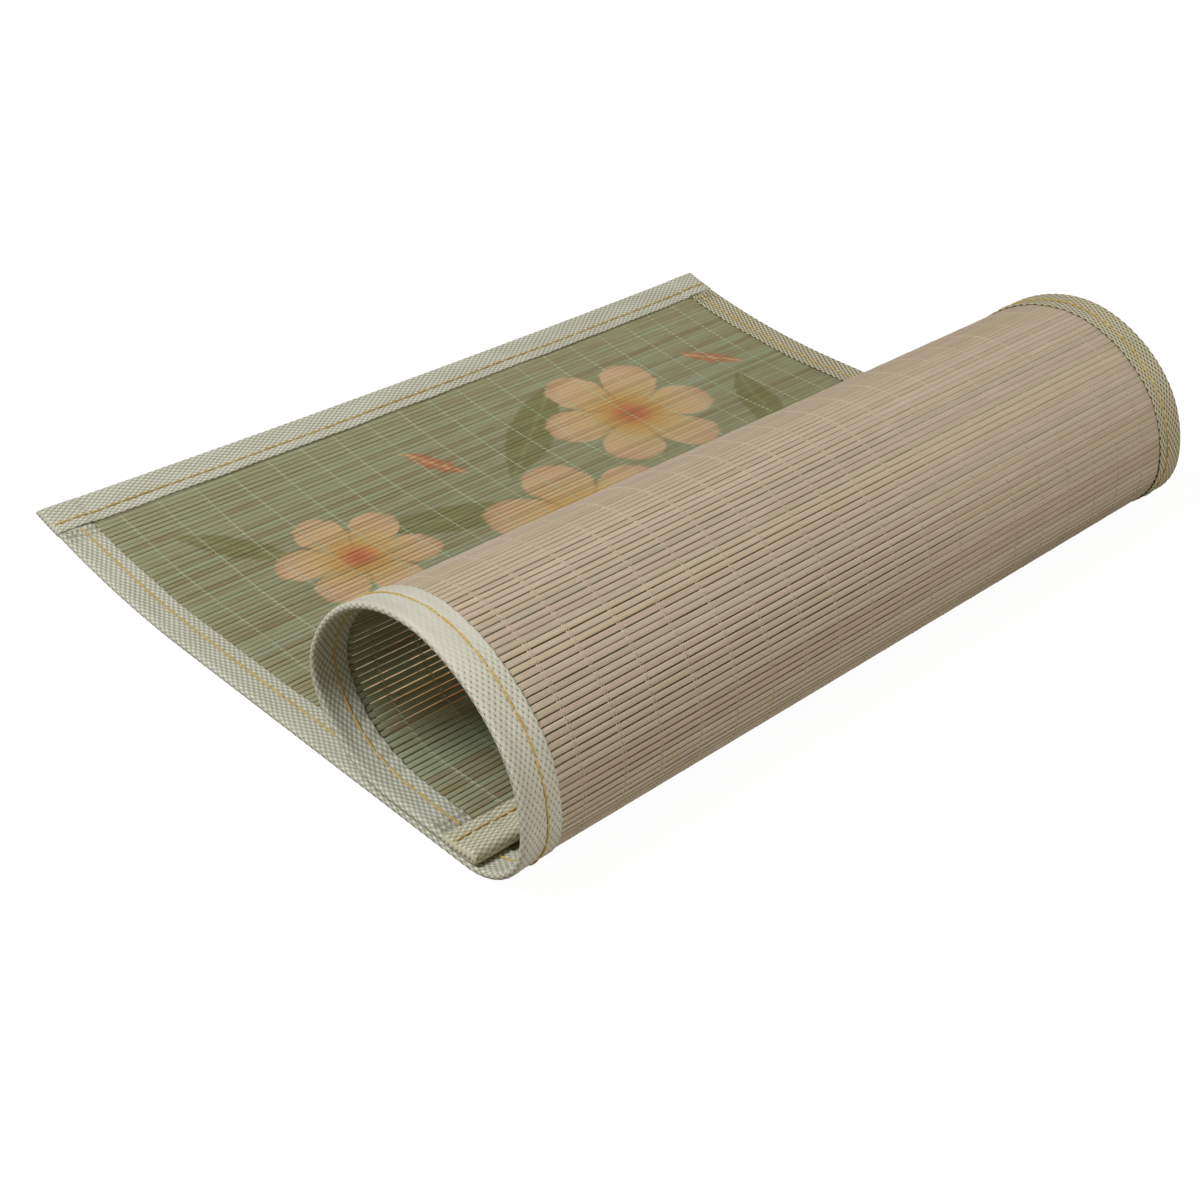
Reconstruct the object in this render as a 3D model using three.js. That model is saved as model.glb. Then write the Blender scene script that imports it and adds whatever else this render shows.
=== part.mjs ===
// A bamboo placemat, half rolled up on a table.
// Thin slats lie side by side across the mat and a woven tape is folded over each of its four edges.
// The free end curls up a little. The other end is rolled over the printed face, once round,
// and its last stretch lies flat on the mat again.
// Millimetres, +Z up, +X along the slats, +Y towards the free end, origin under the middle of the box.
import * as THREE from "three";

// The mat laid flat
const MAT_WIDTH = 300;
const MAT_LENGTH = 446;

// The layers at an edge: tape, gap, slats, gap, tape
const SLAT_THICKNESS = 1;
const TAPE_THICKNESS = 0.4;
const SEWN_GAP = 0.3;
const TAPE_WIDTH = 12;
const HALF_SLAT = SLAT_THICKNESS / 2;
const HALF_MOUTH = HALF_SLAT + SEWN_GAP;
const HALF_EDGE = HALF_MOUTH + TAPE_THICKNESS;
const FOLD_STEPS = 6;

// How the mat lies, from the free end on. Every bend curls towards the printed face.
const FREE_CURL = { length: 82, radius: 332 };
const FLAT_RUN = 128;
const ROLL_BENDS = [
  { turn: 91, radius: 21 },
  { turn: 44, radius: 38.7 },
  { turn: 29, radius: 51 },
  { turn: 18, radius: 35.6 },
  { turn: 31, radius: 41.6 },
  { turn: 38, radius: 41.8 },
  { turn: 47, radius: 17.8 },
];
const LAYER_GAP = 0.3;
const END_CURL = { length: 17, radius: 150 };
const ROLL_STEP = THREE.MathUtils.degToRad(6);
const CURL_STEP = THREE.MathUtils.degToRad(2.5);

// What is uneven about it: the free end's middle hangs lower than its two corners,
// and the roll is drawn in at the far side, between two distances from the free end.
const FREE_END_SAG = 1.4;
const FAR_DRAWN_IN = { by: 4.5, from: 200, to: 260 };
const STEPS_ACROSS = 8;

const BAMBOO = new THREE.MeshStandardMaterial({ color: 0xb9ad8b, roughness: 0.55, metalness: 0 });
const TAPE = new THREE.MeshStandardMaterial({ color: 0xc9ccb9, roughness: 0.9, metalness: 0 });

// The way along the mat at a heading, and the way its printed face looks there, both in Y and Z.
const along = (heading) => new THREE.Vector2(-Math.cos(heading), Math.sin(heading));
const faceward = (heading) => new THREE.Vector2(Math.sin(heading), Math.cos(heading));

// The mat's middle line from the free end to the inner end, as a list of lines and arcs.
function middleLine() {
  const curlTurn = FREE_CURL.length / FREE_CURL.radius;
  const runs = [];
  let from = 0;
  let heading = -curlTurn;
  let start = new THREE.Vector2(0, HALF_EDGE + FREE_CURL.radius * (1 - Math.cos(curlTurn)));
  const go = (length, radius, step) => {
    const run = { from, length, radius, heading, start, step };
    runs.push(run);
    const end = pointOnRun(run, length, 0);
    from += length;
    start = end.point;
    heading = end.heading;
  };
  go(FREE_CURL.length, FREE_CURL.radius, CURL_STEP);
  go(FLAT_RUN, Infinity);
  for (const bend of ROLL_BENDS) {
    go(THREE.MathUtils.degToRad(bend.turn) * bend.radius, bend.radius, ROLL_STEP);
  }
  // The last bend comes down just as far as puts the inner layer flat on the bottom layer.
  const lastTurn = 2 * Math.PI - heading;
  const innerHeight = 3 * HALF_EDGE + LAYER_GAP;
  const lastRadius = (start.y - innerHeight) / (1 - Math.cos(lastTurn));
  go(lastTurn * lastRadius, lastRadius, ROLL_STEP);
  go(MAT_LENGTH - END_CURL.length - from, Infinity);
  go(END_CURL.length, END_CURL.radius, CURL_STEP);
  return runs;
}

function pointOnRun(run, distance, height) {
  if (run.radius === Infinity) {
    const point = run.start.clone().addScaledVector(along(run.heading), distance);
    return { point: point.addScaledVector(faceward(run.heading), height), heading: run.heading };
  }
  const heading = run.heading + distance / run.radius;
  const centre = run.start.clone().addScaledVector(faceward(run.heading), run.radius);
  return { point: centre.addScaledVector(faceward(heading), height - run.radius), heading };
}

const RUNS = middleLine();

// across: distance from the near side. distance: from the free end. height: off the middle, face up.
function place(across, distance, height) {
  const run = RUNS.findLast((r) => r.from <= distance) ?? RUNS[0];
  const { point } = pointOnRun(run, distance - run.from, height);
  const share = across / MAT_WIDTH;
  const curlLeft = Math.max(0, 1 - distance / FREE_CURL.length);
  const sag = FREE_END_SAG * 4 * share * (1 - share) * curlLeft ** 2;
  const drawn = THREE.MathUtils.smoothstep(distance, FAR_DRAWN_IN.from, FAR_DRAWN_IN.to);
  return [across - FAR_DRAWN_IN.by * share * drawn, point.x, point.y - sag];
}

// Distances from the free end at which a piece that bends with the mat gets a section.
function stationsBetween(low, high) {
  const stations = new Set([low, high]);
  for (const run of RUNS) {
    const pieces = run.step ? Math.ceil(run.length / run.radius / run.step) : 1;
    for (let i = 0; i < pieces; i++) {
      stations.add(run.from + (run.length * i) / pieces);
    }
  }
  return [...stations].filter((d) => d >= low && d <= high).sort((a, b) => a - b);
}

const stepsBetween = (low, high) =>
  Array.from({ length: STEPS_ACROSS + 1 }, (_, i) => low + ((high - low) * i) / STEPS_ACROSS);

// A closed solid with the same outline at every station. Seen from ahead of the last station,
// the outline runs anticlockwise: along one face of the piece and back, in as many steps, along the other.
function sweep(outline, stations, placeCorner) {
  const corners = outline.length;
  const positions = stations.flatMap((station) => outline.flatMap((corner) => placeCorner(corner, station)));
  const index = [];
  for (let i = 0; i + 1 < stations.length; i++) {
    for (let j = 0; j < corners; j++) {
      const here = i * corners + j;
      const beside = i * corners + ((j + 1) % corners);
      index.push(here, beside, beside + corners, here, beside + corners, here + corners);
    }
  }
  const last = (stations.length - 1) * corners;
  for (let j = 0; j + 1 < corners / 2; j++) {
    const [a, b, c, d] = [j, j + 1, corners - 2 - j, corners - 1 - j];
    index.push(c, b, a, d, c, a);
    index.push(last + a, last + b, last + c, last + a, last + c, last + d);
  }
  const geometry = new THREE.BufferGeometry();
  geometry.setAttribute("position", new THREE.Float32BufferAttribute(positions, 3));
  geometry.setIndex(index);
  return geometry;
}

// The folded tape cut through: a U round an edge, with the fold at 0 and the mouth at TAPE_WIDTH.
function tapeOutline() {
  const half = (radius, sense) =>
    Array.from({ length: FOLD_STEPS + 1 }, (_, i) => {
      const angle = sense * Math.PI * (i / FOLD_STEPS - 0.5);
      return new THREE.Vector2(HALF_EDGE - radius * Math.cos(angle), radius * Math.sin(angle));
    });
  return [
    new THREE.Vector2(TAPE_WIDTH, HALF_EDGE),
    ...half(HALF_EDGE, -1),
    new THREE.Vector2(TAPE_WIDTH, -HALF_EDGE),
    new THREE.Vector2(TAPE_WIDTH, -HALF_MOUTH),
    ...half(HALF_MOUTH, 1),
    new THREE.Vector2(TAPE_WIDTH, HALF_MOUTH),
  ];
}

// The outline at the opposite edge is the mirror image, run the other way to stay anticlockwise.
const turned = (outline, size) => outline.map((p) => new THREE.Vector2(size - p.x, p.y)).reverse();

// The slats, side by side and held by threads, as one thin sheet that reaches into the folds.
function slatPanel() {
  const face = stepsBetween(HALF_EDGE, MAT_WIDTH - HALF_EDGE).map((x) => new THREE.Vector2(x, HALF_SLAT));
  const back = face.map((p) => new THREE.Vector2(p.x, -HALF_SLAT));
  const outline = [...back, ...face.reverse()];
  const stations = stationsBetween(HALF_EDGE, MAT_LENGTH - HALF_EDGE);
  return sweep(outline, stations, (corner, distance) => place(corner.x, distance, corner.y));
}

// The two long tapes bend with the mat and stop where the end tapes lap over them.
function sideTape(outline) {
  const stop = TAPE_WIDTH + SEWN_GAP;
  const stations = stationsBetween(stop, MAT_LENGTH - stop);
  return sweep(outline, stations, (corner, distance) => place(corner.x, distance, corner.y));
}

// The two end tapes run along the slats over the whole width.
function endTape(outline) {
  const stations = stepsBetween(MAT_WIDTH, 0);
  return sweep(outline, stations, (corner, across) => place(across, corner.x, corner.y));
}

function piece(name, geometry, material) {
  const mesh = new THREE.Mesh(geometry, material);
  mesh.name = name;
  return mesh;
}

const fold = tapeOutline();
const mat = new THREE.Group();
mat.add(
  piece("slat_panel", slatPanel(), BAMBOO),
  piece("binding_near_side", sideTape(fold), TAPE),
  piece("binding_far_side", sideTape(turned(fold, MAT_WIDTH)), TAPE),
  piece("binding_free_end", endTape(fold), TAPE),
  piece("binding_inner_end", endTape(turned(fold, MAT_LENGTH)), TAPE),
);

// The origin goes under the middle of the box, at the height of the table.
const middle = new THREE.Box3().setFromObject(mat).getCenter(new THREE.Vector3());
mat.position.set(-middle.x, -middle.y, 0);

const placemat = new THREE.Group();
placemat.add(mat);

export default placemat;
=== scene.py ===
import math
import random

import bmesh
import bpy
import numpy as np
from mathutils import Euler, Matrix, Vector


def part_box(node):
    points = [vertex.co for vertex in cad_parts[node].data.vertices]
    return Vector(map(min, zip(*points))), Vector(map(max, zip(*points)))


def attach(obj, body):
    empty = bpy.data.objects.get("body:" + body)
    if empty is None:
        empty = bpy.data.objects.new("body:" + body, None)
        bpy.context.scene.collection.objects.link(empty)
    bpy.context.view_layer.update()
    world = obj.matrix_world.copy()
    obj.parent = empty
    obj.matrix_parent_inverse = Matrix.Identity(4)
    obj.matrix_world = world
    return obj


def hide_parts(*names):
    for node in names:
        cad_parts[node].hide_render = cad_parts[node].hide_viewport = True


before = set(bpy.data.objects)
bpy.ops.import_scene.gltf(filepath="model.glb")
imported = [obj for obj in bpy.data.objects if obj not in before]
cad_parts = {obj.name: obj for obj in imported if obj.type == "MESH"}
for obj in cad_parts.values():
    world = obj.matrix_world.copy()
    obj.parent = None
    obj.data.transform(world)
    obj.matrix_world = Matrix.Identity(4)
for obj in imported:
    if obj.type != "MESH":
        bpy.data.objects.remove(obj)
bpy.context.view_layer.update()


# Slats: strips split from bamboo, planed flat, 1.8 mm wide and 0.7 mm thick, side by side across the mat.
# The thread rows and the tapes hold them, and the gaps between them close up towards the far side.
# The face is printed once they are woven together, and the back is left bare.
MAT_WIDTH = 0.300
MAT_LENGTH = 0.446
HALF_EDGE = 0.0012
SLAT_PITCH = 0.00203
SLAT_WIDTH = 0.00180
SLAT_TAPER = 0.12
FAR_SWELL = {"by": 0.13, "start": 0.45, "end": 0.72}
FAR_CALM = {"line": 0.7, "width": 0.8}
PINCHES_A_WAVE = 7
SLAT_THICKNESS = 0.00072
SLAT_ROUNDING = 0.00027
SLAT_END = 0.0016
SLAT_CUTS = 20
SLAT_COUNT = round((MAT_LENGTH - 2 * SLAT_END) / SLAT_PITCH)
FIRST_SLAT = (MAT_LENGTH - SLAT_COUNT * SLAT_PITCH) / 2 + SLAT_PITCH / 2
FREE_CURL_LENGTH, FREE_CURL_RADIUS = 0.082, 0.332
FLAT_RUN = 0.128
ROLL_BENDS = [
    {"turn": 91, "radius": 0.0210},
    {"turn": 44, "radius": 0.0387},
    {"turn": 29, "radius": 0.0510},
    {"turn": 18, "radius": 0.0356},
    {"turn": 31, "radius": 0.0416},
    {"turn": 38, "radius": 0.0418},
    {"turn": 47, "radius": 0.0178},
]
LAYER_GAP = 0.0003
END_CURL_LENGTH, END_CURL_RADIUS = 0.017, 0.150
FREE_END_SAG = 0.0014
FAR_DRAWN_IN = {"by": 0.0045, "start": 0.200, "end": 0.260}
NEAR_EDGE_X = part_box("binding_near_side")[0].x
FREE_EDGE_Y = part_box("binding_free_end")[1].y


def middle_line():
    """The mat's middle line from the free end to the inner end, as a list of lines and arcs in Y and Z."""
    curl_turn = FREE_CURL_LENGTH / FREE_CURL_RADIUS
    spot = np.array([0.0, HALF_EDGE + FREE_CURL_RADIUS * (1 - math.cos(curl_turn))])
    heading = -curl_turn
    begun = 0.0
    runs = []

    def go(length, bend):
        nonlocal spot, heading, begun
        run = {"start": begun, "length": length, "bend": bend, "heading": heading, "spot": spot}
        runs.append(run)
        spot, heading = on_run(run, np.array([length]), np.zeros(1))[0], heading + length * bend
        begun += length

    go(FREE_CURL_LENGTH, 1 / FREE_CURL_RADIUS)
    go(FLAT_RUN, 0.0)
    for row in ROLL_BENDS:
        go(math.radians(row["turn"]) * row["radius"], 1 / row["radius"])
    # The last bend comes down just as far as puts the inner layer flat on the bottom layer.
    last_turn = 2 * math.pi - heading
    last_radius = (spot[1] - 3 * HALF_EDGE - LAYER_GAP) / (1 - math.cos(last_turn))
    go(last_turn * last_radius, 1 / last_radius)
    go(MAT_LENGTH - END_CURL_LENGTH - begun, 0.0)
    go(END_CURL_LENGTH, 1 / END_CURL_RADIUS)
    return runs


def on_run(run, along, height):
    """Points in Y and Z, some way along one line or arc and some height off it, towards the face."""
    heading = run["heading"]
    if run["bend"] == 0:
        way = np.array([-math.cos(heading), math.sin(heading)])
        up = np.array([math.sin(heading), math.cos(heading)])
        return run["spot"] + along[:, None] * way + height[:, None] * up
    radius = 1 / run["bend"]
    centre = run["spot"] + radius * np.array([math.sin(heading), math.cos(heading)])
    turned = heading + along * run["bend"]
    return centre + (height - radius)[:, None] * np.stack([np.sin(turned), np.cos(turned)], axis=1)


def smooth(value, low, high):
    share = np.clip((value - low) / (high - low), 0, 1)
    return share * share * (3 - 2 * share)


def lay(points):
    """Rolls up points of the flat mat: X from the near side, Y 0 at the free end, Z off the middle."""
    across, distance, height = points[:, 0], -points[:, 1], points[:, 2]
    section = np.zeros((len(points), 2))
    starts = np.array([run["start"] for run in RUNS])
    which = np.clip(np.searchsorted(starts, distance, side="right") - 1, 0, len(RUNS) - 1)
    for number, run in enumerate(RUNS):
        here = which == number
        section[here] = on_run(run, distance[here] - run["start"], height[here])
    share = across / MAT_WIDTH
    curl_left = np.clip(1 - distance / FREE_CURL_LENGTH, 0, None)
    sag = FREE_END_SAG * 4 * share * (1 - share) * curl_left**2
    drawn = FAR_DRAWN_IN["by"] * share * smooth(distance, FAR_DRAWN_IN["start"], FAR_DRAWN_IN["end"])
    x = NEAR_EDGE_X + across - drawn
    return np.stack([x, FREE_EDGE_Y + section[:, 0], section[:, 1] - sag], axis=1)


RUNS = middle_line()


def corners_of(mesh):
    points = np.zeros(len(mesh.vertices) * 3)
    mesh.vertices.foreach_get("co", points)
    return points.reshape(-1, 3)


def flat_places(mesh):
    """How far each point of a flat mesh is from the mat's near side, and how far from its free end."""
    return corners_of(mesh)[:, :2] * (1, -1)


def laid_piece(name, mesh, flat, material):
    """Rolls up a piece that was made flat. Its UV map keeps where each point was on the flat cloth."""
    loops = np.zeros(len(mesh.loops), np.int32)
    mesh.loops.foreach_get("vertex_index", loops)
    layer = mesh.uv_layers.get("flat") or mesh.uv_layers.new(name="flat")
    layer.uv.foreach_set("vector", flat[loops].astype(np.float32).ravel())
    mesh.vertices.foreach_set("co", lay(corners_of(mesh)).ravel())
    mesh.polygons.foreach_set("use_smooth", np.ones(len(mesh.polygons), bool))
    mesh.update()
    mesh.materials.append(material)
    piece = bpy.data.objects.new(name, mesh)
    bpy.context.scene.collection.objects.link(piece)
    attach(piece, "root")
    return piece


def one_slat():
    """A straight slat round the origin, with its four long edges rounded, and cuts to bend it at."""
    bm = bmesh.new()
    size = Matrix.Diagonal((MAT_WIDTH - 2 * SLAT_END, SLAT_WIDTH, SLAT_THICKNESS, 1))
    bmesh.ops.create_cube(bm, size=1, matrix=size)
    long_edges = [e for e in bm.edges if abs(e.verts[0].co.x - e.verts[1].co.x) > MAT_WIDTH / 2]
    bmesh.ops.bevel(
        bm, geom=long_edges, offset=SLAT_ROUNDING, segments=2, affect="EDGES", profile=0.5, material=-1
    )
    long_edges = [e for e in bm.edges if abs(e.verts[0].co.x - e.verts[1].co.x) > MAT_WIDTH / 2]
    bmesh.ops.subdivide_edges(bm, edges=long_edges, cuts=SLAT_CUTS, use_grid_fill=True)
    return bm


def drop(bm, pattern):
    """Takes away the one that the others were copied from."""
    bmesh.ops.delete(bm, geom=[g for g in pattern if isinstance(g, bmesh.types.BMVert)], context="VERTS")


def slat_rows():
    """All slats side by side on the flat, each a little off in width, thickness, place and line."""
    chance = random.Random(4)
    bm = one_slat()
    tint = bm.verts.layers.float.new("tint")
    side = bm.verts.layers.float.new("side")
    for v in bm.verts:
        v[side] = v.co.z / (SLAT_THICKNESS / 2)
    pattern = list(bm.verts) + list(bm.edges) + list(bm.faces)
    for number in range(SLAT_COUNT):
        made = bmesh.ops.duplicate(bm, geom=pattern)["geom"]
        wide = chance.uniform(0.975, 1.03)
        thick = chance.uniform(0.90, 1.05)
        off = chance.uniform(-0.00004, 0.00004)
        bow = chance.uniform(-0.00006, 0.00006)
        waves = chance.uniform(1.0, 3.0)
        phase = chance.uniform(0, 2 * math.pi)
        pinch = chance.uniform(0.01, 0.035)
        lean = chance.uniform(0.02, 0.13)
        tone = chance.random()
        for v in made:
            if not isinstance(v, bmesh.types.BMVert):
                continue
            share = v.co.x / MAT_WIDTH + 0.5
            bend = waves * math.pi * share
            stray = (off + bow * math.sin(phase + bend)) * (1 - FAR_CALM["line"] * share)
            swell = FAR_SWELL["by"] * smooth(share, FAR_SWELL["start"], FAR_SWELL["end"])
            uneven = pinch * (1 - FAR_CALM["width"] * share) * math.sin(3 * phase + PINCHES_A_WAVE * bend)
            width = v.co.y * wide * (1 + SLAT_TAPER * (share - 0.5) + swell) * (1 + uneven)
            height = v.co.z * thick + width * lean
            v.co = (v.co.x + MAT_WIDTH / 2, width + stray - FIRST_SLAT - number * SLAT_PITCH, height)
            v[tint] = tone
    drop(bm, pattern)
    mesh = bpy.data.meshes.new("slats")
    bm.to_mesh(mesh)
    bm.free()
    return mesh


class Wire:
    """An output of a material's nodes. Sums on wires add the Math nodes that work them out."""

    def __init__(self, tree, socket):
        self.tree = tree
        self.socket = socket

    def node(self, kind, settings=None, inputs=None, output=0):
        """Adds a node: its type, its settings, which come first, and its sockets' values or wires."""
        made = self.tree.nodes.new("ShaderNode" + kind)
        for name, value in (settings or {}).items():
            if name == "stops":
                set_stops(made.color_ramp, value)
            else:
                setattr(made, name, value)
        for name, value in (inputs or {}).items():
            if isinstance(value, Wire):
                self.tree.links.new(value.socket, made.inputs[name])
            else:
                made.inputs[name].default_value = value
        return Wire(self.tree, made.outputs[output])

    def math(self, operation, *others):
        return self.node("Math", {"operation": operation}, dict(enumerate((self, *others))))

    def __add__(self, other):
        return self.math("ADD", other)

    __radd__ = __add__

    def __sub__(self, other):
        return self.math("SUBTRACT", other)

    def __rsub__(self, other):
        return self.node("Math", {"operation": "SUBTRACT"}, {0: other, 1: self})

    def __mul__(self, other):
        return self.math("MULTIPLY", other)

    __rmul__ = __mul__

    def __truediv__(self, other):
        return self.math("DIVIDE", other)

    def __pow__(self, other):
        return self.math("POWER", other)

    def ramp(self, *stops):
        """The colour that stands at this value, in a row of colours that run into each other."""
        return self.node("ValToRGB", {"stops": stops}, {"Fac": self})

    def step(self, low, high):
        """From 0 below low to 1 above high, smoothly."""
        limits = {"Value": self, "From Min": low, "From Max": high}
        return self.node("MapRange", {"interpolation_type": "SMOOTHSTEP"}, limits)

    def mix(self, below, above):
        """The colour below where this is 0 and the colour above where it is 1."""
        ends = {"Factor": self, 6: below, 7: above}
        return self.node("Mix", {"data_type": "RGBA", "clamp_factor": True}, ends, output=2)


def set_stops(ramp, stops):
    while len(ramp.elements) < len(stops):
        ramp.elements.new(1)
    for element, (position, colour) in zip(ramp.elements, stops):
        element.position = position
        element.color = colour


def colour(red, green, blue):
    """A colour as a screen shows it, from 0 to 255, in the linear values that shaders take."""
    shares = [channel / 255 for channel in (red, green, blue)]
    return (*[s / 12.92 if s <= 0.04045 else ((s + 0.055) / 1.055) ** 2.4 for s in shares], 1)


def new_material(name, roughness):
    """A material, its shader, and a wire to start from: the place on the flat cloth as a vector in metres."""
    material = bpy.data.materials.new(name)
    material.use_nodes = True
    shader = material.node_tree.nodes["Principled BSDF"]
    shader.inputs["Roughness"].default_value = roughness
    place = Wire(material.node_tree, None).node("UVMap", {"uv_map": "flat"})
    return material, shader, place


def feed(shader, name, wire):
    wire.tree.links.new(wire.socket, shader.inputs[name])


def relief(shader, height, strength, distance):
    """Small bumps too fine for the mesh, on the shader's normal."""
    bump = height.node("Bump", None, {"Height": height, "Strength": strength, "Distance": distance})
    feed(shader, "Normal", bump)


def split(place):
    return [place.node("SeparateXYZ", None, {"Vector": place}, output=axis) for axis in range(2)]


def grain(place, across, along, detail=2):
    """Noise drawn out along the cloth's two ways, so many per metre each way."""
    stretched = place.node("Mapping", None, {"Vector": place, "Scale": (across, along, 1)})
    return place.node("TexNoise", None, {"Vector": stretched, "Scale": 1, "Detail": detail})


def attribute(place, name):
    return place.node("Attribute", {"attribute_name": name}, output=2)


BLOSSOMS = [
    {"across": 0.206, "distance": 0.062, "radius": 0.036, "turn": 0.2},
    {"across": 0.146, "distance": 0.108, "radius": 0.040, "turn": 0.7},
    {"across": 0.070, "distance": 0.076, "radius": 0.028, "turn": 0.4},
    {"across": 0.236, "distance": 0.134, "radius": 0.026, "turn": 0.1},
    {"across": 0.046, "distance": 0.152, "radius": 0.026, "turn": 0.9},
]
LEAVES = [
    {"across": 0.168, "distance": 0.050, "length": 0.036, "width": 0.0095, "turn": 2.5},
    {"across": 0.110, "distance": 0.078, "length": 0.032, "width": 0.0090, "turn": 0.4},
    {"across": 0.093, "distance": 0.120, "length": 0.036, "width": 0.0100, "turn": -0.5},
    {"across": 0.192, "distance": 0.134, "length": 0.034, "width": 0.0090, "turn": 0.9},
    {"across": 0.250, "distance": 0.088, "length": 0.030, "width": 0.0080, "turn": -1.1},
    {"across": 0.042, "distance": 0.048, "length": 0.022, "width": 0.0060, "turn": 0.9},
]
BUDS = [
    {"across": 0.125, "distance": 0.046, "length": 0.015, "width": 0.0042, "turn": 1.1},
    {"across": 0.056, "distance": 0.118, "length": 0.014, "width": 0.0040, "turn": 2.6},
    {"across": 0.262, "distance": 0.050, "length": 0.014, "width": 0.0042, "turn": 0.8},
]
PETALS = 6
PETAL_STOPS = [
    (0.00, colour(184, 98, 66)),
    (0.12, colour(198, 118, 74)),
    (0.28, colour(202, 158, 88)),
    (0.50, colour(206, 176, 124)),
    (0.80, colour(208, 176, 138)),
    (1.00, colour(198, 160, 122)),
]


def printed(ground, across, distance, veins):
    """The print: a loose spray of six-petalled blossoms, leaves and buds on the green ground."""
    picture = ground
    for row in LEAVES:
        mask, rib = leaf_shape(across, distance, row)
        shade = (veins * 0.5 + rib * 0.6).mix(colour(112, 114, 62), colour(138, 138, 88))
        picture = (mask * 0.75).mix(picture, shade)
    for row in BUDS:
        mask, rib = leaf_shape(across, distance, row)
        shade = rib.mix(colour(184, 116, 82), colour(206, 158, 116))
        picture = (mask * 0.8).mix(picture, shade)
    for row in BLOSSOMS:
        mask, heart, fold = blossom_shape(across, distance, row)
        petal = (fold * 0.45).mix(heart.ramp(*PETAL_STOPS), colour(176, 134, 90))
        picture = (mask * 0.9).mix(picture, petal)
    return picture


def turned_place(across, distance, row):
    """How far a place is from a motif's middle, along the motif and across it."""
    right, up = across - row["across"], distance - row["distance"]
    cosine, sine = math.cos(row["turn"]), math.sin(row["turn"])
    return right * cosine + up * sine, up * cosine - right * sine


def leaf_shape(across, distance, row):
    along, off = turned_place(across, distance, row)
    share = along / row["length"]
    half = (1 - share * share) * row["width"]
    away = off.math("ABSOLUTE")
    return (half - away).step(0, 0.0016), 1 - away.step(0.0002, 0.0012)


def blossom_shape(across, distance, row):
    right, up = turned_place(across, distance, row)
    reach = (right * right + up * up).math("SQRT") / row["radius"]
    lobe = (up.math("ARCTAN2", right) * (PETALS / 2)).math("COSINE").math("ABSOLUTE")
    outline = 0.42 + 0.58 * lobe**0.42
    seam = (1 - lobe.step(0.0, 0.30)) * reach.step(0.15, 0.30)
    return (outline - reach).step(0, 0.06), reach, seam


BARE_STOPS = [
    (0.00, colour(178, 166, 148)),
    (0.22, colour(190, 174, 146)),
    (0.42, colour(194, 179, 156)),
    (0.60, colour(184, 167, 146)),
    (0.80, colour(192, 172, 152)),
    (1.00, colour(200, 190, 172)),
]
DYED_STOPS = [
    (0.00, colour(136, 125, 91)),
    (0.26, colour(143, 136, 102)),
    (0.44, colour(147, 148, 114)),
    (0.62, colour(149, 155, 122)),
    (0.82, colour(150, 160, 129)),
    (1.00, colour(164, 167, 139)),
]


def bamboo():
    material, shader, place = new_material("split_bamboo", 0.5)
    across, distance = split(place)
    tint = attribute(place, "tint")
    side = attribute(place, "side")
    strands = grain(place, 22, 2600, 3)
    fibres = grain(place, 160, 9000, 2)
    patches = grain(place, 26, 9)
    slow = grain(place, 60, 480, 1)
    neighbours = grain(place, 3, 95, 1)
    tone = (tint * 7.31).math("FRACT")
    # The back: bare bamboo in beige, with some pinkish and some greyer slats.
    bare = (strands.step(0.42, 0.70) * 0.35).mix(tint.ramp(*BARE_STOPS), colour(158, 134, 106))
    bare = (slow.step(0.50, 0.75) * 0.35).mix(bare, colour(206, 188, 168))
    # The face: green dye that took less on some slats and on some groups of slats, then the print.
    dyed = (tone * 0.34 + neighbours * 0.80 + slow * 0.8 - 0.47).ramp(*DYED_STOPS)
    dyed = (patches.step(0.35, 0.75) * 0.30).mix(dyed, colour(142, 136, 94))
    dyed = (fibres.step(0.45, 0.65) * 0.30).mix(dyed, colour(160, 158, 128))
    face = printed(dyed, across + (tint - 0.5) * 0.0012, distance, slow)
    face = ((1 - tone.step(0.04, 0.16)) * 0.25).mix(face, colour(116, 98, 60))
    face = (strands.step(0.45, 0.72) * 0.22).mix(face, colour(110, 100, 64))
    skin = side.step(-0.35, 0.30).mix(bare, face)
    # The slats' sides are darker than their faces: partly their own tone and partly painted shade between the
    # slats, painted darker still at the far side, where the gaps are closed.
    far = across.step(0.13, 0.22)
    edge = 1 - (side.math("ABSOLUTE") - far * 0.50).step(0.05, 0.50)
    bare_side_and_shade = far.mix(colour(150, 124, 90), colour(98, 76, 50))
    side_and_shade = side.step(-0.40, 0.30).mix(bare_side_and_shade, colour(90, 78, 46))
    feed(shader, "Base Color", (edge * 0.6).mix(skin, side_and_shade))
    feed(shader, "Roughness", 0.42 + strands * 0.22)
    relief(shader, fibres + strands * 0.8, 0.25, 0.00012)
    return material


flat_slats = slat_rows()
slats = laid_piece("slats", flat_slats, flat_places(flat_slats), bamboo())
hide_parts("slat_panel")


# Thread rows: cotton twined across the slats on a loom, one row every 14 mm.
# Two threads go over and under by turns and cross in each gap, which keeps the slats in place.
THREAD_DIAMETER = 0.00042
THREAD_FIRST = 0.0209
THREAD_SPACING = 0.0142
THREAD_ROWS = 19
THREAD_STEPS = 3
THREAD_LIFT = 0.00044
BACK_LIFT = 0.00034
THREAD_FLATTENING = 0.7
THREAD_ASIDE = 0.00050
CROSSING_DOWN = 0.00016
ROW_STRAY, ROW_STRAY_SLATS = 0.0004, 17
ROW_WOBBLE, ROW_WOBBLE_SLATS = 0.00025, 5.3


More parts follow.
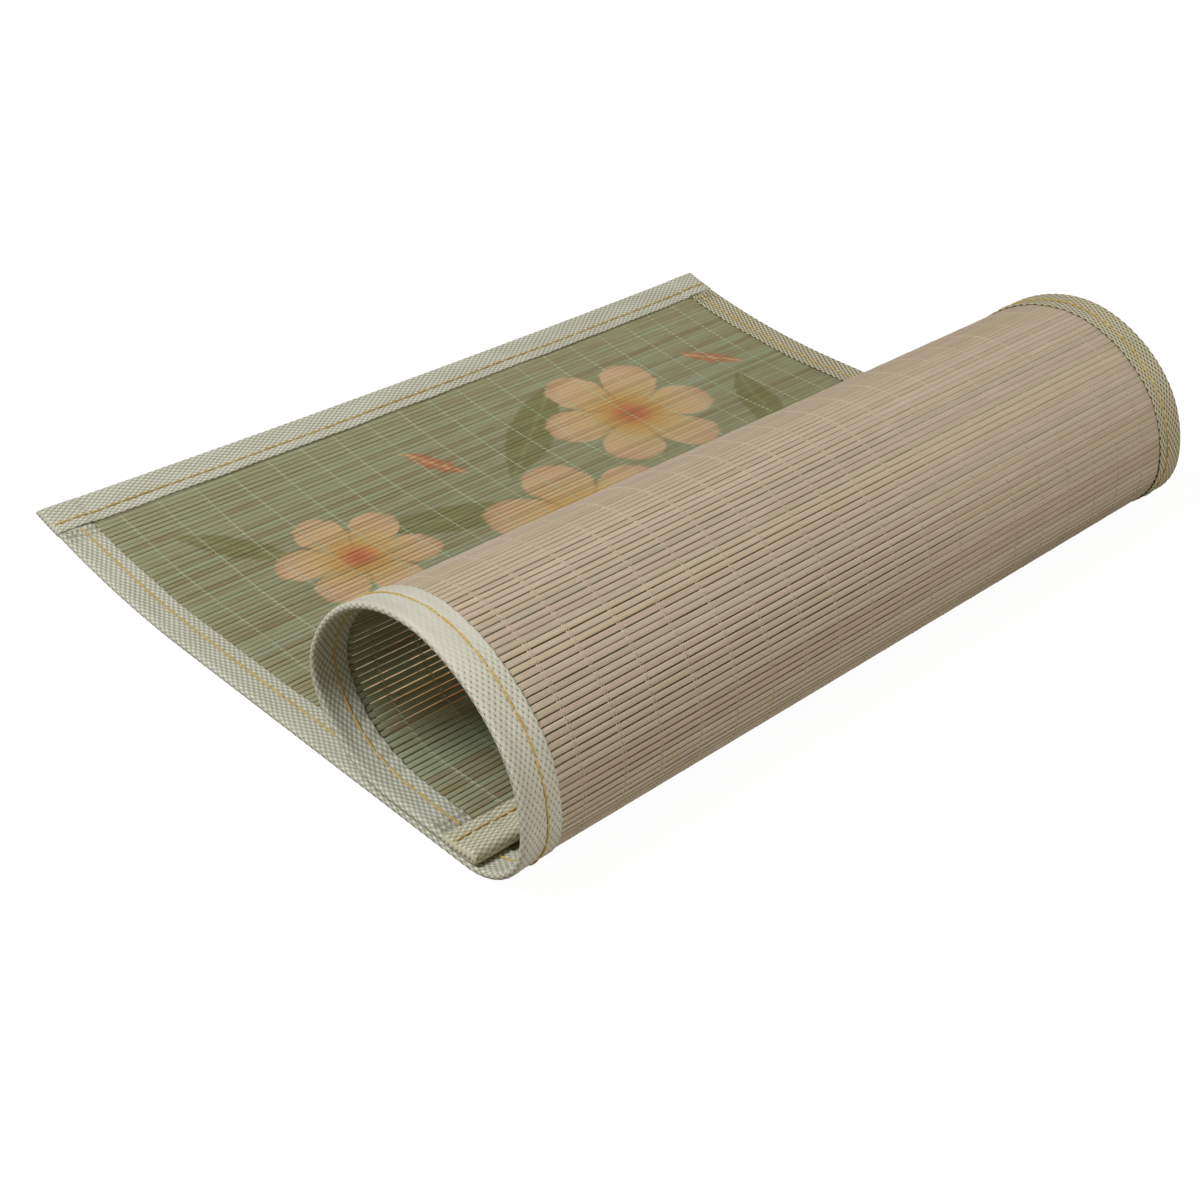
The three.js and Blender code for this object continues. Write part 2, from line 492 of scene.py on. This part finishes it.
def thread_line(across, over, wander):
    """One thread's points on the flat mat: a wave over one slat and under the next.

    The two threads of a row cross in the gaps, a little below the middle, so that they show on the back.
    """
    points = []
    for number in range((SLAT_COUNT - 1) * THREAD_STEPS + 1):
        slat = number / THREAD_STEPS
        wave = math.cos(math.pi * (slat + over))
        lift = THREAD_LIFT if wave > 0 else BACK_LIFT
        height = lift * math.copysign(abs(wave) ** THREAD_FLATTENING, wave)
        height -= CROSSING_DOWN * (1 - wave * wave)
        aside = THREAD_ASIDE * math.sin(math.pi * (slat + over))
        drift = ROW_STRAY * math.sin(slat / ROW_STRAY_SLATS + wander)
        drift += ROW_WOBBLE * math.sin(slat / ROW_WOBBLE_SLATS + 2 * wander)
        points.append((across + drift + aside, -FIRST_SLAT - slat * SLAT_PITCH, height))
    return points


def thread_mesh(name, rows):
    """Some thread rows as one mesh of four-sided tubes, which is plenty at 0.4 mm."""
    curve = bpy.data.curves.new(name, "CURVE")
    curve.dimensions = "3D"
    curve.bevel_depth = THREAD_DIAMETER / 2
    curve.bevel_resolution = 0
    curve.use_fill_caps = True
    for row in rows:
        for over in range(2):
            points = thread_line(THREAD_FIRST + row * THREAD_SPACING, over, row * 1.7)
            spline = curve.splines.new("POLY")
            spline.points.add(len(points) - 1)
            spline.points.foreach_set("co", [x for p in points for x in (*p, 1)])
    bent = bpy.data.objects.new(name, curve)
    mesh = bpy.data.meshes.new_from_object(bent)
    mesh.materials.clear()
    bpy.data.objects.remove(bent)
    bpy.data.curves.remove(curve)
    side = mesh.attributes.new("side", "FLOAT", "POINT")
    side.data.foreach_set("value", corners_of(mesh)[:, 2] / THREAD_LIFT)
    return mesh


def cotton():
    material, shader, place = new_material("twined_cotton", 0.85)
    across, distance = split(place)
    twist = ((distance * 5200 + across * 5200).math("SINE") * 0.5 + 0.5).step(0.1, 0.9)
    patches = grain(place, 40, 40).step(0.3, 0.7)
    # The thread is a pale green on the face and the colour of the slats on the back.
    pale = patches.mix(colour(168, 180, 146), colour(192, 198, 168))
    plain = patches.mix(colour(184, 167, 144), colour(196, 179, 154))
    ply = attribute(place, "side").step(-0.3, 0.3).mix(plain, pale)
    feed(shader, "Base Color", (twist * 0.12).mix(ply, colour(158, 148, 116)))
    relief(shader, twist, 0.4, 0.00005)
    return material


thread_finish = cotton()
near_rows = range(THREAD_ROWS // 2 + 1)
far_rows = range(THREAD_ROWS // 2 + 1, THREAD_ROWS)
for name, rows in (("threads_near_half", near_rows), ("threads_far_half", far_rows)):
    flat_threads = thread_mesh(name, rows)
    threads = laid_piece(name, flat_threads, flat_places(flat_threads), thread_finish)


# Binding: one coarse plain-woven cotton tape, 32 warp yarns wide, folded over each edge and sewn down.
# The two side strips go on first. The two end strips lap over them at the corners, so they lie higher there.
# The fold stays full and round, and the two layers come together towards the seam.
TAPE_THICKNESS = 0.00034
WARP_PITCH = 0.00083
WEFT_PITCH = 0.00137
WARP_YARNS = 32
TAPE_WIDTH = WARP_YARNS * WARP_PITCH
CROWN_HEIGHT = 0.00008
SEAM_FROM_EDGE = 0.0084
SEAM_HALF = 0.00088
SEAM_FLANK = 0.0035
MOUTH_HALF = 0.00085
SEAM_DIP, SEAM_DIP_REACH = 0.00014, 0.0007
FOLD_STRAY = 0.00020
LEVEL_STRAY = 0.00005
SIDE_NOSE = 0.00108
INNER_NOSE = 0.00200
LAP_RISE = 0.00046
LAP_START, LAP_END = 0.0112, 0.0150
SIDE_STRIP_STOP = 0.0017
END_PROUD = 0.0005
END_ROUND = 0.0014
STITCH_PITCH = 0.0061
MOUTH_REACH = 0.0035
MOUTH_PULL, MOUTH_STRAY = 0.00007, 0.00009
LAP_PLEATS = {"middle": 0.0140, "reach": 0.0034, "pitch": 0.0024, "slant": 0.0045}
ROLL_PLEATS = {"share": 0.3, "start": 0.205, "full": 0.235, "pitch": 0.0067}
ROLL_TOP = {"start": 0.283, "full": 0.300, "fading": 0.335, "end": 0.350}
SKEW_LENGTH, SKEW_START = 0.043, 0.03
WARP_STRAY, WEFT_STRAY = 0.00009, 0.00017


def slow_wave(along, seed):
    """A wave between -1 and 1 that changes over a few centimetres and doesn't repeat."""
    return 0.6 * np.sin(along / 0.021 + seed) + 0.4 * np.sin(along / 0.0083 + 2.3 * seed)


def fold_shift(row, along):
    """How far off its middle a strip is folded, which makes its face wider than its back."""
    places = np.linspace(0, row["length"], len(row["shift"]))
    return np.interp(along, places, row["shift"]) + FOLD_STRAY * slow_wave(along, row["seed"])


def no_lap(along):
    return along * 0


def corner_lap(along):
    """The end strips rise over the side strips at both corners."""
    from_corner = np.minimum(along, MAT_WIDTH + 2 * END_PROUD - along)
    return LAP_RISE * (1 - smooth(from_corner, LAP_START, LAP_END))


def tape_section(row, around, along, seam):
    """Where a folded tape's outside lies: how far in from the edge, and how high off the mat's middle."""
    lap = row["lap"](along)
    half = np.maximum(row["nose"], SIDE_NOSE + lap)
    turn = np.clip(around / half, -math.pi / 2, math.pi / 2)
    past = np.clip(np.abs(around) - half * math.pi / 2, 0, None)
    inward = half * (1 - np.cos(turn)) + past
    closing = smooth(past, 0, seam - SEAM_FLANK)
    opening = smooth(past, seam, seam + SEAM_FLANK)
    level = half + (SEAM_HALF + lap - half) * closing + (MOUTH_HALF - SEAM_HALF) * opening
    level -= SEAM_DIP * np.exp(-(((inward - seam) / SEAM_DIP_REACH) ** 2))
    level += LEVEL_STRAY * slow_wave(along, row["seed"]) * closing
    return inward, np.sin(turn) * level, turn


def strip(row):
    """One strip of tape folded over an edge. Its yarns stand up as rounded crowns, and dip between them."""
    length = row["length"]
    wefts = round(length / WEFT_PITCH)
    bm = bmesh.new()
    bmesh.ops.create_grid(bm, x_segments=2 * WARP_YARNS, y_segments=2 * wefts, size=0.5)
    mesh = bpy.data.meshes.new("strip")
    bm.to_mesh(mesh)
    bm.free()
    square = corners_of(mesh)
    around = square[:, 0] * TAPE_WIDTH
    along = (square[:, 1] + 0.5) * length
    flat = np.stack([around, along * wefts * WEFT_PITCH / length], axis=1)
    crowns = np.cos(math.pi * around / WARP_PITCH) * np.cos(math.pi * along * wefts / length)
    face = np.sign(around)
    shift = fold_shift(row, along)
    inward, height, turn = tape_section(row, around + shift, along, SEAM_FROM_EDGE + shift)
    # The inner edge is a little out of line, stitch by stitch.
    mouth = smooth(np.abs(around), TAPE_WIDTH / 2 - MOUTH_REACH, TAPE_WIDTH / 2)
    pull = np.cos(2 * math.pi * along / STITCH_PITCH + slow_wave(along, row["seed"] + 3))
    inward = inward + mouth * (MOUTH_PULL * pull + MOUTH_STRAY * slow_wave(along * 3, row["seed"] + 1))
    # A side strip is drawn into small sharp pleats where it goes under an end strip,
    # and its face into softer ones on the inside of the roll.
    from_end = np.minimum(along, length - along)
    distance = -row["on"](along, inward, height)[:, 1]
    at_lap = np.exp(-(((from_end - LAP_PLEATS["middle"]) / LAP_PLEATS["reach"]) ** 2))
    at_lap = at_lap * smooth(inward, 0.0002, 0.002)
    rolled = ROLL_PLEATS["share"] * smooth(distance, ROLL_PLEATS["start"], ROLL_PLEATS["full"])
    rolled = rolled * smooth(face * inward, 0.003, 0.011)
    sharp = 1 - 2 * np.abs(np.sin(math.pi * along / LAP_PLEATS["pitch"] + inward / LAP_PLEATS["slant"]))
    soft = np.sin(2 * math.pi * along / ROLL_PLEATS["pitch"] + 2 * slow_wave(along, row["seed"] + 5))
    height = height + face * row["pleats"] * (at_lap * sharp + rolled * soft)
    # On top of the roll the near strip's back is smoother, with its yarns pressed close.
    on_top = smooth(distance, ROLL_TOP["start"], ROLL_TOP["full"])
    on_top = on_top * (1 - smooth(distance, ROLL_TOP["fading"], ROLL_TOP["end"]))
    pressed = (face < 0) * row.get("pressed", 0.0) * on_top
    crowns = crowns * (1 - 0.5 * pressed)
    # Both ends are turned in and close like the end of a pillow.
    open_share = np.clip(from_end / END_ROUND, 0, 1)
    height = height * np.sqrt(1 - (1 - open_share) ** 2)
    inward = inward - CROWN_HEIGHT * crowns * np.cos(turn)
    height = height + CROWN_HEIGHT * crowns * np.sin(turn) * open_share
    # The weave lies a little skew, and its yarns wander in waves that have no length in common.
    skew = row["skew"] * inward * np.sin(along / SKEW_LENGTH + row["seed"]) * face
    skew = skew * smooth(from_end, 0, SKEW_START)
    ripple = np.sin(along / 0.0031 + 1.7 * np.sin(around / 0.0042))
    ripple = ripple * np.sin(around / 0.0023 + np.sin(along / 0.0057))
    drift = np.sin(along / 0.0047 + 1.3 * np.sin(around / 0.0029 + row["seed"]))
    inward = inward + WARP_STRAY * drift * smooth(inward, 0, 0.002)
    along = along + (skew + WEFT_STRAY * ripple) * open_share
    mesh.vertices.foreach_set("co", row["on"](along, inward, height).ravel())
    amounts = {
        "pressed": pressed,
        "yellowed": np.full(len(along), row.get("yellowed", 0.0)),
        "opened": np.full(len(along), row.get("opened", 0.0)),
        # The valleys of the sharp pleats on the face get painted shade.
        "creased": (face > 0) * (row["pleats"] > 0) * at_lap * np.clip(-sharp, 0, 1),
    }
    for name, values in amounts.items():
        mesh.attributes.new(name, "FLOAT", "POINT").data.foreach_set("value", values)
    return mesh, flat


def woven_tape():
    material, shader, place = new_material("woven_tape", 0.88)
    around, along = split(place)
    warp, weft = around * (math.pi / WARP_PITCH), along * (math.pi / WEFT_PITCH)
    pressed = attribute(place, "pressed")
    on_face = around.step(-0.002, 0.002)
    crown = warp.math("COSINE") * weft.math("COSINE") * (1 - pressed * 0.35)
    ply = ((warp * 2 + weft * 5).math("SINE") * 0.5 + 0.5) * crown.step(-0.1, 0.6)
    patches = grain(place, 160, 45)
    yarns = grain(place, 1500, 120, 1)
    fuzz = grain(place, 5200, 5200, 2)
    # The back's ground is painted lighter and the face's duller: painted light and painted shade on the two
    # sides of one tape. Small pits get painted shade and the raised yarns painted highlights, which show as
    # light dots on the face; both are fainter where the yarns are pressed close.
    cream = patches.step(0.30, 0.72).mix(colour(194, 191, 175), colour(204, 201, 187))
    shaded_face_ground = patches.step(0.30, 0.72).mix(colour(170, 171, 151), colour(184, 184, 167))
    cream = on_face.mix(cream, shaded_face_ground)
    cream = (yarns.step(0.40, 0.75) * 0.25).mix(cream, colour(174, 176, 154))
    # Painted bounce light: the far strip and the inner end strip are tinted yellow-olive, as if lit by light
    # off the dyed slats.
    cream = attribute(place, "yellowed").mix(cream, colour(196, 184, 134))
    pit_shade = patches.mix(colour(112, 109, 80), colour(134, 131, 104))
    # The far strip is painted darker, as painted shade, and its pits are wider and deeper in colour, as
    # painted shade.
    opened = attribute(place, "opened")
    cream = (opened * 0.45).mix(cream, colour(150, 138, 100))
    pit_shade = opened.mix(pit_shade, colour(88, 82, 46))
    # Painted shade in the pits between the yarn crowns.
    weave = (crown - opened * 0.28).step(-0.98, -0.52).mix(pit_shade, cream)
    # Painted highlights on the yarn crowns, stronger on the face.
    weave = (crown.step(0.36, 0.86) * (0.4 + on_face * 0.55)).mix(weave, colour(224, 223, 211))
    # Painted shade in the valleys of the sharp pleats.
    weave = (attribute(place, "creased") * 0.8).mix(weave, colour(122, 118, 92))
    feed(shader, "Base Color", (ply * 0.15).mix(weave, colour(228, 228, 216)))
    relief(shader, crown.step(-0.9, 0.9) + ply * 0.25 + fuzz * 0.35, 0.35, 0.00010)
    return material


def near_side(along, inward, height):
    return np.stack([inward, along + SIDE_STRIP_STOP - MAT_LENGTH, height], axis=1)


def far_side(along, inward, height):
    return np.stack([MAT_WIDTH - inward, -along - SIDE_STRIP_STOP, height], axis=1)


def free_end(along, inward, height):
    return np.stack([along - END_PROUD, -inward, height], axis=1)


def inner_end(along, inward, height):
    return np.stack([MAT_WIDTH + END_PROUD - along, inward - MAT_LENGTH, height], axis=1)


NEAR_SHIFT = (-0.0020, -0.0008, 0, -0.0010, -0.0010, -0.0010)
FAR_SHIFT = (-0.0005, -0.0005, 0, 0, -0.0008, -0.0012)
SIDE_STRIP = {"length": MAT_LENGTH - 2 * SIDE_STRIP_STOP, "lap": no_lap, "pleats": 0.00060}
END_STRIP = {"length": MAT_WIDTH + 2 * END_PROUD, "lap": corner_lap, "pleats": 0}
USUAL_FOLD = {"nose": SIDE_NOSE, "skew": 0.12}
STRIPS = [
    {"name": "near_side", "on": near_side, "shift": NEAR_SHIFT, "seed": 1.0, **SIDE_STRIP, **USUAL_FOLD},
    {"name": "far_side", "on": far_side, "shift": FAR_SHIFT, "seed": 2.2, **SIDE_STRIP, **USUAL_FOLD},
    {"name": "free_end", "on": free_end, "shift": (0.0007,), "seed": 3.1, **END_STRIP, **USUAL_FOLD},
    {"name": "inner_end", "on": inner_end, "shift": (0.0005,), "seed": 4.7, **END_STRIP, **USUAL_FOLD},
]
STRIPS[0].update({"pressed": 1.0})
STRIPS[1].update({"yellowed": 0.4, "opened": 1.0})
STRIPS[3].update({"nose": INNER_NOSE, "skew": 0.40, "yellowed": 0.35})
tape_finish = woven_tape()
for row in STRIPS:
    flat_strip, on_tape = strip(row)
    tape = laid_piece("tape_" + row["name"], flat_strip, on_tape, tape_finish)
    wall = tape.modifiers.new("cloth", "SOLIDIFY")
    wall.thickness = TAPE_THICKNESS
    wall.offset = -1
    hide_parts("binding_" + row["name"])


# Seams: one row of lockstitch in ochre thread, sewn through all the layers of each strip.
# It shows on both sides as long stitches, nearly end to end, that dip into the tape where they meet.
# The side seams start at the end strips, which hide the rest of them.
STITCH_LENGTH = 0.0060
STITCH_WIDTH = 0.00060
STITCH_DIP = 0.00016
SIDE_SEAM_START = 0.0118
STITCH_PROUD = 0.34
TABLE_PROUD, TABLE_UP_TO = 0.20, 0.225


def one_stitch():
    """One stitch along X, round the origin: full up to its ends, and bent down there."""
    bm = bmesh.new()
    bmesh.ops.create_uvsphere(bm, u_segments=8, v_segments=12, radius=0.5)
    for v in bm.verts:
        off = 2 * math.hypot(v.co.x, v.co.y)
        full = off**-0.6 if off > 0.01 else 1
        share = 2 * v.co.z
        down = STITCH_DIP * abs(share) ** 5
        v.co = (share * STITCH_LENGTH / 2, v.co.y * full * STITCH_WIDTH, v.co.x * full * STITCH_WIDTH - down)
    bmesh.ops.recalc_face_normals(bm, faces=bm.faces)
    return bm


def seam(row, chance):
    """The stitches of one strip, on its face and its back, as one mesh on the flat mat."""
    bm = one_stitch()
    pattern = list(bm.verts) + list(bm.edges) + list(bm.faces)
    start = SIDE_SEAM_START if row["lap"] is no_lap else STITCH_PITCH / 6
    run = row["length"] - 2 * start
    count = round(run / STITCH_PITCH)
    for face in (1, -1):
        for number in range(count):
            along = np.array([start + (number + 0.5) * run / count])
            aside = SEAM_FROM_EDGE + fold_shift(row, along) + chance.uniform(-0.00009, 0.00009)
            # Where the mat's back lies on the table the stitches sit deeper, which keeps them above it.
            on_table = face < 0 and -row["on"](along, aside, 0 * along)[0][1] < TABLE_UP_TO
            proud = STITCH_WIDTH * (TABLE_PROUD if on_table else STITCH_PROUD)
            level = face * (SEAM_HALF + row["lap"](along) - SEAM_DIP + proud)
            middle = row["on"](along, aside, level)[0]
            ahead = row["on"](along + 0.001, aside, level)[0]
            turn = math.atan2(ahead[1] - middle[1], ahead[0] - middle[0]) + chance.uniform(-0.03, 0.03)
            size = Matrix.Diagonal((chance.uniform(0.95, 1.02), chance.uniform(0.9, 1.1), face, 1))
            made = bmesh.ops.duplicate(bm, geom=pattern)["geom"]
            verts = [v for v in made if isinstance(v, bmesh.types.BMVert)]
            pose = Matrix.Translation(Vector(middle)) @ Matrix.Rotation(turn, 4, "Z") @ size
            bmesh.ops.transform(bm, matrix=pose, verts=verts)
    drop(bm, pattern)
    bmesh.ops.recalc_face_normals(bm, faces=bm.faces)
    mesh = bpy.data.meshes.new("seam")
    bm.to_mesh(mesh)
    bm.free()
    return mesh


def ochre_thread():
    material, shader, place = new_material("ochre_sewing_thread", 0.6)
    across, distance = split(place)
    twist = ((across * 4200 + distance * 4200).math("SINE") * 0.5 + 0.5).step(0.15, 0.85)
    patches = grain(place, 70, 70)
    gold = patches.step(0.35, 0.65).mix(colour(194, 158, 80), colour(204, 182, 110))
    feed(shader, "Base Color", (twist * 0.40).mix(gold, colour(152, 122, 58)))
    relief(shader, twist, 0.5, 0.00006)
    return material


seam_finish = ochre_thread()
stitch_chance = random.Random(9)
for row in STRIPS:
    flat_seam = seam(row, stitch_chance)
    stitches = laid_piece("seam_" + row["name"], flat_seam, flat_places(flat_seam), seam_finish)


# Studio: a plain white floor and background that light the mat only a little, one soft lamp high up on
# the left, a weaker one lower down on the right, and the camera at the photograph's place.
SEEN_WHITE = 1.10
FLOOR_SHADOW = 0.14
FLOOR_SIZE = 6
FLOOR_GREY = (0.26, 0.23, 0.175, 1)
ROOM_LIGHT = (0.25, 0.231, 0.186, 1)


def white_floor():
    bm = bmesh.new()
    bmesh.ops.create_grid(bm, x_segments=1, y_segments=1, size=FLOOR_SIZE)
    mesh = bpy.data.meshes.new("floor")
    bm.to_mesh(mesh)
    bm.free()
    material = bpy.data.materials.new("white_board")
    material.use_nodes = True
    tree = material.node_tree
    seen = Wire(tree, None).node("LightPath", output=0)
    glow = seen.node("Emission", None, {"Color": (1, 1, 1, 1), "Strength": SEEN_WHITE})
    board = seen.node("BsdfDiffuse", None, {"Color": (0.9, 0.9, 0.9, 1)})
    bright = seen.node("MixShader", None, {0: FLOOR_SHADOW, 1: glow, 2: board})
    dull = seen.node("BsdfDiffuse", None, {"Color": FLOOR_GREY})
    surface = seen.node("MixShader", None, {0: seen, 1: dull, 2: bright})
    tree.links.new(surface.socket, tree.nodes["Material Output"].inputs["Surface"])
    mesh.materials.append(material)
    floor = bpy.data.objects.new("floor", mesh)
    bpy.context.scene.collection.objects.link(floor)


def white_room():
    world = bpy.data.worlds.new("studio")
    world.use_nodes = True
    tree = world.node_tree
    seen = Wire(tree, None).node("LightPath", output=0)
    shade = seen.mix(ROOM_LIGHT, (1, 1, 1, 1))
    tree.links.new(shade.socket, tree.nodes["Background"].inputs["Color"])
    bpy.context.scene.world = world


def soft_lamp(name, spot, size, watts, light):
    lamp = bpy.data.lights.new(name, "AREA")
    lamp.shape = "DISK"
    lamp.size = size
    lamp.energy = watts
    lamp.color = light
    holder = bpy.data.objects.new(name, lamp)
    holder.location = spot
    holder.rotation_euler = (-Vector(spot)).to_track_quat("-Z", "Y").to_euler()
    bpy.context.scene.collection.objects.link(holder)


white_floor()
white_room()
soft_lamp("soft_key", (-1.0, 0.45, 1.4), 0.75, 25.5, (0.98, 0.995, 1.04))
soft_lamp("soft_fill", (0.12, -1.9, 0.75), 0.9, 15, (1.0, 0.99, 0.99))
bpy.context.scene.view_settings.view_transform = "Standard"

CAMERA_SPOT = (-0.3730, -0.3592, 0.3078)
CAMERA_DOWN = math.radians(33.10)
CAMERA_HEADING = math.radians(44.79)
CAMERA_ROLL = math.radians(2.274)
camera = bpy.data.cameras.new("camera")
camera.lens = 54.27
camera.sensor_width = 36
camera.clip_start = 0.01
viewer = bpy.data.objects.new("camera", camera)
aimed = Euler((math.pi / 2 - CAMERA_DOWN, 0, CAMERA_HEADING - math.pi / 2)).to_matrix().to_4x4()
viewer.matrix_world = Matrix.Translation(CAMERA_SPOT) @ aimed @ Matrix.Rotation(CAMERA_ROLL, 4, "Z")
bpy.context.scene.collection.objects.link(viewer)
bpy.context.scene.camera = viewer
